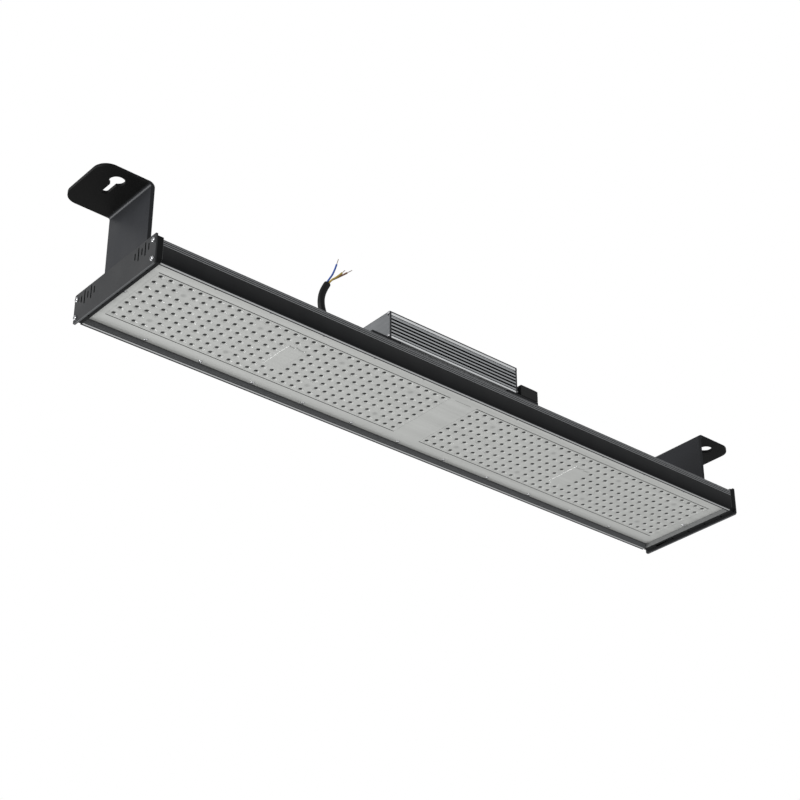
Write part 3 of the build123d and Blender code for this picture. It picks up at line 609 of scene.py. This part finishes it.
# The end plate screws are light grey metal, brighter than the black steel screws, so that their
# heads catch bright glints
light_grey_screw = plated_steel("light_grey_steel_screw", "#77787a", "#dcdddf", 0.25)
silver_case = extruded_aluminium("clear_anodised_driver_extrusion", "#d2d4d6", "#eceded", 0.38)
silver_end = brushed_aluminium("brushed_driver_end_plate", "#6f7173", "#888a8c", 0.45)
green_board = board_lacquer("green_solder_lacquer", "#1f5a35", "#2f7a4b", 9.0)
dark_part = moulded_plastic("dark_moulded_component", "#1d1f24", "#2a2d33", 0.4)
box_plastic = moulded_plastic("black_junction_box_plastic", "#161718", "#1e1f20", 0.45)
gland_nylon = moulded_plastic("black_gland_nylon", "#17181a", "#202123", 0.4)
cable_sheath = black_rubber("black_cable_sheath", "#060707", "#0c0d0d", 0.5)
blue_core = wire_pvc("blue_core_pvc", "#2a4f9e", "#3561b6")
brown_core = wire_pvc("brown_core_pvc", "#7a4a2c", "#8f5a38")
earth_core = striped_pvc()
copper = copper_wire()


# Cords

def cord_curve(name, points_mm, diameter_mm):
    """A round cord along one smooth spline through the route's points."""
    data = bpy.data.curves.new(name, "CURVE")
    data.dimensions = "3D"
    spline = data.splines.new("NURBS")
    spline.points.add(len(points_mm) - 1)
    for point, place in zip(spline.points, points_mm):
        point.co = (place[0] * MM, place[1] * MM, place[2] * MM, 1.0)
        point.radius = diameter_mm / 2 * MM
    spline.order_u = 3
    spline.use_endpoint_u = True
    data.resolution_u = 10
    data.bevel_depth = 1.0
    data.bevel_resolution = 6
    data.use_fill_caps = True
    piece = bpy.data.objects.new(name, data)
    bpy.context.scene.collection.objects.link(piece)
    return piece


# Routes and sizes in mm, each route from its hidden end on
CABLE_DIAMETER, CORE_DIAMETER = 10.8, 2.8
CABLE_POINTS = [
    (-124.0, 23.0, 104.0), (-135.7, 23.0, 104.0), (-157.4, 23.0, 103.5), (-177.2, 23.0, 112.1),
    (-191.5, 23.0, 128.4), (-197.3, 23.0, 149.2), (-193.7, 23.0, 170.5), (-185.8, 23.0, 185.1),
]
CORE_POINTS = {
    "blue": [
        (-187.4, 23.0, 186.0), (-182.2, 23.0, 195.7), (-174.0, 23.3, 209.5), (-168.5, 23.5, 227.6),
    ],
    "yellow_green": [
        (-185.1, 21.5, 184.73), (-179.9, 21.5, 194.4), (-168.9, 21.6, 203.8), (-159.5, 21.8, 215.6),
    ],
    "brown": [
        (-185.1, 24.5, 184.73), (-179.9, 24.5, 194.4), (-163.5, 24.8, 208.0), (-147.5, 25.2, 222.6),
    ],
}
CORE_FINISHES = {"blue": blue_core, "yellow_green": earth_core, "brown": brown_core}

cable = cord_curve("mains_cable_sheath", CABLE_POINTS, CABLE_DIAMETER)
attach(cable, "root")
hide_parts("mains_cable")
finish_with(cable, cable_sheath)
for core_name, core_points in CORE_POINTS.items():
    core = cord_curve("core_" + core_name, core_points, CORE_DIAMETER)
    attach(core, "root")
    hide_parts("wire_" + core_name)
    finish_with(core, CORE_FINISHES[core_name])
    repaint("copper_strands_" + core_name, copper)


# Gland: nut, ribbed cap and a tapered relief round the cable

def make_gland():
    """The nut and the cap lie along X, on the line where the cable starts."""
    gland_y, gland_z = 23.0, 104.0
    bpy.ops.mesh.primitive_cylinder_add(
        vertices=6, radius=6.9 * MM, depth=4.0 * MM,
        location=(-116.0 * MM, gland_y * MM, gland_z * MM), rotation=(0, math.radians(90), 0),
    )
    bpy.ops.object.transform_apply(location=True, rotation=True, scale=True)
    hexagon = new_piece("gland_nut")
    apply_modifier(
        hexagon, "BEVEL", width=0.5 * MM, segments=2, limit_method="ANGLE", angle_limit=0.5
    )
    bpy.ops.mesh.primitive_cylinder_add(
        vertices=40, radius=6.4 * MM, depth=6.0 * MM,
        location=(-121.0 * MM, gland_y * MM, gland_z * MM), rotation=(0, math.radians(90), 0),
    )
    bpy.ops.object.transform_apply(location=True, rotation=True, scale=True)
    cap = new_piece("gland_cap")
    bpy.ops.object.mode_set(mode="EDIT")
    pick(cap, "FACE", lambda place, normal: normal.x < -0.9)
    # Each step draws the cap or the relief on by one ring: how far out, and its new radius.
    radius = 6.4
    for out, ring in ((0.8, 6.2), (0.6, 5.9), (0.1, 6.25)):
        bpy.ops.mesh.extrude_region_move(TRANSFORM_OT_translate={"value": (-out * MM, 0, 0)})
        bpy.ops.transform.resize(value=(1, ring / radius, ring / radius))
        radius = ring
    for step in range(7):
        width = 6.2 - step * 0.09
        groove, lip = width - 0.35, width - 0.05
        for out, ring in ((1.9, width), (0.2, groove), (0.7, groove), (0.2, lip)):
            bpy.ops.mesh.extrude_region_move(TRANSFORM_OT_translate={"value": (-out * MM, 0, 0)})
            bpy.ops.transform.resize(value=(1, ring / radius, ring / radius))
            radius = ring
    bpy.ops.object.mode_set(mode="OBJECT")
    piece = join("cable_gland_moulded", [cap, hexagon])
    smooth(piece, 30)
    finish_with(piece, gland_nylon)
    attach(piece, "root")
    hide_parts("cable_gland")
    return piece


gland = make_gland()


# Screws: one pan head with a cross recess, modelled once for each size

def pan_screw(name, radius_mm, height_mm):
    """A pan head that stands on z = 0, with a cross recess in its top."""
    bpy.ops.mesh.primitive_cylinder_add(
        vertices=28, radius=radius_mm * MM, depth=height_mm * 0.45 * MM,
        location=(0, 0, height_mm * 0.225 * MM),
    )
    bpy.ops.object.transform_apply(location=True, rotation=True, scale=True)
    head = new_piece(name)
    bpy.ops.object.mode_set(mode="EDIT")
    pick(head, "FACE", lambda place, normal: normal.z > 0.9)
    for rise, shrink in ((0.28, 0.93), (0.18, 0.86), (0.09, 0.72)):
        higher = (0, 0, rise * height_mm * MM)
        bpy.ops.mesh.extrude_region_move(TRANSFORM_OT_translate={"value": higher})
        bpy.ops.transform.resize(value=(shrink, shrink, 1))
    bpy.ops.object.mode_set(mode="OBJECT")
    arms = []
    for turn in (0.4, 0.4 + math.pi / 2):
        bpy.ops.mesh.primitive_cube_add(
            size=1, location=(0, 0, height_mm * MM), rotation=(0, 0, turn),
            scale=(radius_mm * 1.15 * MM, radius_mm * 0.3 * MM, height_mm * 0.9 * MM),
        )
        bpy.ops.object.transform_apply(location=True, rotation=True, scale=True)
        arms.append(new_piece("recess_arm"))
    for arm in arms:
        apply_modifier(head, "BOOLEAN", object=arm, operation="DIFFERENCE", solver="EXACT")
        bpy.data.objects.remove(arm)
    smooth(head, 35)
    return head


def screws_of(node_name, template, places, turn, material):
    """Copies of a screw at their places in mm, as one piece for a CAD node. Screws that stand
    upright are each driven home at another angle."""
    copies = []
    for index, place in enumerate(places):
        spun = (turn[0], turn[1], turn[2] + index * 0.7) if turn[1] == 0 else turn
        copies.append(copy_to(template, [value * MM for value in place], spun))
    piece = join(node_name + "_heads", copies)
    finish_with(piece, material)
    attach(piece, "root")
    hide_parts(node_name)


quarter = math.radians(90)
lens_screw = pan_screw("lens_screw", 2.75, 1.8)
lens_places = [(x * 90.0, side * 82.4, LENS_FACE) for x in range(-5, 6) for side in (-1, 1)]
lens_places += [(-538.0, 0.0, LENS_FACE), (538.0, 0.0, LENS_FACE)]
screws_of("lens_screws", lens_screw, lens_places, (math.pi, 0, 0), bright_screw)
plate_screw = pan_screw("plate_screw", 3.75, 2.6)
for side, side_name in ((-1, "left"), (1, "right")):
    corner_places = [(side * 555.2, y, z) for y in (-92.0, 92.0) for z in (8.4, 37.2)]
    screws_of(
        "end_plate_screws_" + side_name, plate_screw, corner_places, (0, side * quarter, 0),
        light_grey_screw,
    )
driver_screw = pan_screw("driver_screw", 2.4, 1.4)
driver_copies = [
    copy_to(driver_screw, (end * MM, y * MM, z * MM), (0, turn, 0))
    for end, turn in ((-114.0, -quarter), (139.0, quarter))
    for y in (-32.4, 32.4)
    for z in (99.1, 137.7)
]
driver_heads = join("driver_screw_heads", driver_copies)
finish_with(driver_heads, bright_screw)
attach(driver_heads, "root")
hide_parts("driver_screws")
foot_screw = pan_screw("foot_screw", 4.5, 3.4)
foot_places = [(x, y, 52.0) for x in (-510.0, 510.0) for y in (-28.0, 28.0)]
screws_of("bracket_screws", foot_screw, foot_places, (0, 0, 0), black_screw)
stand_screw = pan_screw("stand_screw", 3.6, 2.4)
stand_places = [(x, y, 50.0) for x in (-135.0, -104.0, 131.0, 171.0) for y in (-44.0, 44.0)]
screws_of("driver_stand_screws", stand_screw, stand_places, (0, 0, 0), black_screw)
for template in (lens_screw, plate_screw, driver_screw, foot_screw, stand_screw):
    bpy.data.objects.remove(template)


# Lens panel: one lens modelled once, repeated over the right half, then mirrored

def one_lens():
    """One cell of the lens grid: a rectangle round a low ring, and a well down to the chip."""
    ring_radius = 5.7
    bpy.ops.mesh.primitive_grid_add(x_subdivisions=3, y_subdivisions=3, size=1, location=(0, 0, 0))
    cell = new_piece("lens_cell")
    bpy.ops.object.mode_set(mode="EDIT")
    bpy.ops.transform.resize(value=(COLUMN_PITCH * MM, ROW_PITCH * MM, 1))
    bpy.ops.transform.translate(value=(0, 0, LENS_FACE * MM))
    pick(cell, "VERT", lambda place, normal: abs(place.x) < 5 * MM and abs(place.y) < 5 * MM)
    bpy.ops.mesh.delete(type="VERT")
    bpy.ops.mesh.primitive_circle_add(
        vertices=12, radius=ring_radius * MM, fill_type="NOTHING", location=(0, 0, LENS_FACE * MM)
    )
    bpy.ops.mesh.select_mode(type="EDGE")
    bpy.ops.mesh.select_all(action="SELECT")
    bpy.ops.mesh.bridge_edge_loops()

    def on_ring(place, along):
        """Edges of the ring lie near it and run round it."""
        near = 5.2 * MM < math.hypot(place.x, place.y) < 5.6 * MM
        return near and abs(place.x * along.x + place.y * along.y) < 0.5 * MM

    pick(cell, "EDGE", on_ring)
    # Each step draws the ring inwards: how far up, and its new radius.
    radius = ring_radius
    for rise, ring in ((0.3, 5.35), (-0.2, 4.2), (1.1, 2.6), (0.2, 2.35)):
        bpy.ops.mesh.extrude_edges_move(TRANSFORM_OT_translate={"value": (0, 0, rise * MM)})
        bpy.ops.transform.resize(value=(ring / radius, ring / radius, 1))
        radius = ring
    bpy.ops.mesh.edge_face_add()
    bpy.ops.object.mode_set(mode="OBJECT")
    return cell


def face_down(sheet):
    """Turn a sheet's faces so that they look down, towards the room below the light."""
    if sum(face.normal.z * face.area for face in sheet.data.polygons) > 0:
        active_only(sheet)
        bpy.ops.object.mode_set(mode="EDIT")
        bpy.ops.mesh.select_all(action="SELECT")
        bpy.ops.mesh.flip_normals()
        bpy.ops.object.mode_set(mode="OBJECT")


def is_flat_cell(place):
    """Cells of the right half with no lens: over the board screws, and under the raised pad."""
    column = round((place.x / MM - FIRST_COLUMN) / COLUMN_PITCH)
    row = round(place.y / MM / ROW_PITCH + (ROWS - 1) / 2)
    over_screw = column in (3, 11, 20, 28) and row in (1, 6)
    on_pad = column in (15, 16) and row in (2, 3, 4, 5)
    return over_screw or on_pad


def make_lens_panel():
    """Both fields of lenses, the stepped border, the plain middle strip and the body behind."""
    field = one_lens()
    first_row = -(ROWS - 1) / 2 * ROW_PITCH
    field.location = ((FIRST_COLUMN + GRID_SHIFT_X) * MM, (first_row + GRID_SHIFT_Y) * MM, 0)
    active_only(field)
    bpy.ops.object.transform_apply(location=True, rotation=True, scale=True)
    for offset, count in (((COLUMN_PITCH * MM, 0, 0), COLUMNS), ((0, ROW_PITCH * MM, 0), ROWS)):
        apply_modifier(
            field, "ARRAY", use_relative_offset=False, use_constant_offset=True,
            constant_offset_displace=offset, count=count, use_merge_vertices=True,
            merge_threshold=0.02 * MM,
        )
    # Flat cells
    bpy.ops.object.mode_set(mode="EDIT")
    pick(field, "FACE", lambda place, normal: is_flat_cell(place))
    bpy.ops.transform.resize(value=(1, 1, 0), center_override=(0, 0, LENS_FACE * MM))
    bpy.ops.mesh.dissolve_faces()
    # Raised pad
    pick(
        field, "FACE",
        lambda place, normal: abs(place.x / MM - PAD_MIDDLE) < 4 and abs(place.y / MM) < 4,
    )
    bpy.ops.mesh.inset(thickness=1.3 * MM)
    bpy.ops.mesh.inset(thickness=0.25 * MM, depth=0.0)
    bpy.ops.transform.translate(value=(0, 0, -0.6 * MM))
    bpy.ops.mesh.inset(thickness=0.3 * MM, depth=0.0)
    bpy.ops.transform.translate(value=(0, 0, -0.2 * MM))
    bpy.ops.object.mode_set(mode="OBJECT")
    # Border of the half panel, with a low step all round, and the plain middle strip
    edge_x, edge_y = 543.5, 88.8
    bpy.ops.mesh.primitive_plane_add(size=1, location=(0, 0, LENS_FACE * MM))
    bpy.ops.object.transform_apply(location=True, rotation=True, scale=True)
    border = new_piece("lens_border")
    bpy.ops.object.mode_set(mode="EDIT")
    bpy.ops.transform.resize(value=(2 * edge_x * MM, 2 * edge_y * MM, 1))
    steps = ((0.4, 0.0), (4.0, 0.0), (0.7, -0.3), (5.2, 0.0), (0.7, 0.3), (1.0, 0.0))
    for inset, rise in steps:
        bpy.ops.mesh.inset(thickness=inset * MM)
        bpy.ops.transform.translate(value=(0, 0, rise * MM))
    reached = sum(inset for inset, rise in steps)
    # The last ring is drawn in to the outer edges of the two fields of lenses.
    bpy.ops.transform.resize(value=(527.15 / (edge_x - reached), 64.0 / (edge_y - reached), 1))
    bpy.ops.mesh.delete(type="FACE")
    bpy.ops.mesh.primitive_grid_add(
        x_subdivisions=6, y_subdivisions=1, size=1, location=(0, 0, LENS_FACE * MM)
    )
    bpy.ops.transform.resize(value=(49.5 * MM, 128.0 * MM, 1))
    bpy.ops.object.mode_set(mode="OBJECT")
    # The middle strip stands 0.35 mm proud between X = -14.5 and 14.5 mm. Its grid's inner rows
    # lie at 0, 8.25 and 16.5 mm, and go to 0, 14.5 and 15.3 mm.
    proud = 0.35
    for vertex in border.data.vertices:
        if abs(vertex.co.y) > 65 * MM:
            continue
        out = abs(vertex.co.x) / MM
        if abs(out - 16.5) < 0.5:
            vertex.co.x = math.copysign(15.3 * MM, vertex.co.x)
        elif abs(out - 8.25) < 0.5:
            vertex.co.x = math.copysign(14.5 * MM, vertex.co.x)
            vertex.co.z = (LENS_FACE - proud) * MM
        elif out < 0.5:
            vertex.co.z = (LENS_FACE - proud) * MM
    other = copy_to(field, (0, 0, 0))
    other.scale = (-1, 1, 1)
    bpy.ops.object.transform_apply(location=False, rotation=False, scale=True)
    for sheet in (field, other, border):
        face_down(sheet)
    # The body behind the lenses
    bpy.ops.mesh.primitive_cube_add(
        size=1, location=(0, 0, 14.5 * MM), scale=(2 * edge_x * MM, 2 * edge_y * MM, 3.0 * MM)
    )
    bpy.ops.object.transform_apply(location=True, rotation=True, scale=True)
    rim = new_piece("lens_rim")
    bpy.ops.object.mode_set(mode="EDIT")
    pick(rim, "FACE", lambda place, normal: normal.z < -0.9)
    bpy.ops.mesh.delete(type="FACE")
    pick(rim, "FACE", lambda place, normal: normal.z > 0.9)
    bpy.ops.mesh.inset(thickness=16.0 * MM)
    bpy.ops.mesh.extrude_region_move(TRANSFORM_OT_translate={"value": (0, 0, 2.5 * MM)})
    bpy.ops.object.mode_set(mode="OBJECT")
    panel = join("lens_panel_moulded", [field, other, border, rim])
    active_only(panel)
    bpy.ops.object.mode_set(mode="EDIT")
    bpy.ops.mesh.select_all(action="SELECT")
    bpy.ops.mesh.remove_doubles(threshold=0.02 * MM)
    bpy.ops.object.mode_set(mode="OBJECT")
    smooth(panel, 38)
    finish_with(panel, clear_lens)
    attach(panel, "root")
    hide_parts("lens_panel")


make_lens_panel()


# CAD pieces with rounded edges and their finishes

# The width of each rounding in mm, the finish, and the record's slot
ROUNDED = {
    "housing": (0.25, heat_sink, "heat_sink_black"),
    "end_cap_left": (0.3, end_cap, "end_cap_black"),
    "end_cap_right": (0.3, end_cap, "end_cap_black"),
    "end_plate_left": (0.4, end_sheet, "plate_black"),
    "end_plate_right": (0.4, end_sheet, "plate_black"),
    "hanging_bracket_left": (0.6, bracket_steel, "bracket_black"),
    "hanging_bracket_right": (0.6, bracket_steel, "bracket_black"),
    "driver_stand_left": (0.5, bracket_steel, "bracket_black"),
    "driver_stand_right": (0.5, bracket_steel, "bracket_black"),
    "driver_case": (0.25, silver_case, "driver_aluminium"),
    "driver_end_left": (0.3, silver_end, "driver_end_grey"),
    "driver_end_right": (0.3, silver_end, "driver_end_grey"),
    "junction_box": (0.5, box_plastic, "box_black"),
    "junction_box_lid": (0.5, box_plastic, "box_black"),
    "output_gland": (0.5, gland_nylon, "gland_black"),
}
for rounded_name, (rounding, rounded_material, rounded_slot) in ROUNDED.items():
    finish_with(softened(rounded_name, rounding), rounded_material)

for hidden_name, hidden_material in {
    "lens_gasket": seal,
    "led_board_left": white_board,
    "led_board_right": white_board,
    "led_board_screws": bright_screw,
    "driver_circuit_board": green_board,
    "driver_transformer": dark_part,
    "driver_capacitors": dark_part,
}.items():
    repaint(hidden_name, hidden_material)


# Studio: a pale floor far below, soft lamps and a white surround

def add_lamp(name, place, target, size, power):
    """A square soft lamp, which the camera doesn't see."""
    data = bpy.data.lights.new(name, "AREA")
    data.shape = "SQUARE"
    data.size = size
    data.energy = power
    lamp = bpy.data.objects.new(name, data)
    bpy.context.scene.collection.objects.link(lamp)
    lamp.location = place
    lamp.rotation_euler = (Vector(target) - Vector(place)).to_track_quat("-Z", "Y").to_euler()
    lamp.visible_camera = False


add_lamp("soft_from_the_right", (1.2, -3.0, 1.9), (0.0, 0.0, 0.0), 2.4, 6.0)
add_lamp("key_from_the_left", (-4.6, -0.4, 0.3), (-0.3, 0.0, 0.1), 2.2, 170.0)
add_lamp("low_from_behind", (-1.9, 1.9, -1.3), (0.1, 0.0, 0.0), 1.2, 60.0)
add_lamp("rim_from_behind", (-2.3, 2.1, 1.6), (-0.5, 0.0, 0.0), 2.2, 8.0)
add_lamp("lift_from_below", (1.2, -0.9, -2.5), (0.3, 0.0, 0.0), 2.4, 18.0)

bpy.ops.mesh.primitive_plane_add(size=16.0, location=(0, 0, -3.6))
bpy.ops.object.transform_apply(location=True, rotation=True, scale=True)
floor = new_piece("studio_floor")
floor_material, floor_shader, floor_place = start_material("pale_painted_floor", "#ececea", 0.8)
floor_paint = mottle(floor_material, floor_place, 1.5, 4.0, "#e9e9e7", "#efefed")[1]
set_input(floor_material, floor_shader, "Base Color", floor_paint)
floor.data.materials.append(floor_material)

world = bpy.data.worlds.new("white_surround")
bpy.context.scene.world = world
world.use_nodes = True
for old in list(world.node_tree.nodes):
    world.node_tree.nodes.remove(old)
soft_light = node(world, "ShaderNodeBackground", {"Color": linear("#f4f5f6"), "Strength": 0.42})
white_ground = node(world, "ShaderNodeBackground", {"Color": linear("#ffffff"), "Strength": 1.0})
path = node(world, "ShaderNodeLightPath", {})
seen = node(
    world, "ShaderNodeMath",
    {0: path.outputs["Is Camera Ray"], 1: path.outputs["Is Transmission Ray"]}, operation="MAXIMUM",
)
mirrored = node(
    world, "ShaderNodeMath", {0: path.outputs["Is Glossy Ray"], 1: 0.3}, operation="MULTIPLY"
)
white_for = node(
    world, "ShaderNodeMath", {0: seen.outputs[0], 1: mirrored.outputs[0]}, operation="MAXIMUM"
)
mixed = node(
    world, "ShaderNodeMixShader",
    {0: white_for.outputs[0], 1: soft_light.outputs[0], 2: white_ground.outputs[0]},
)
node(world, "ShaderNodeOutputWorld", {"Surface": mixed.outputs[0]})
bpy.context.scene.view_settings.view_transform = "Standard"
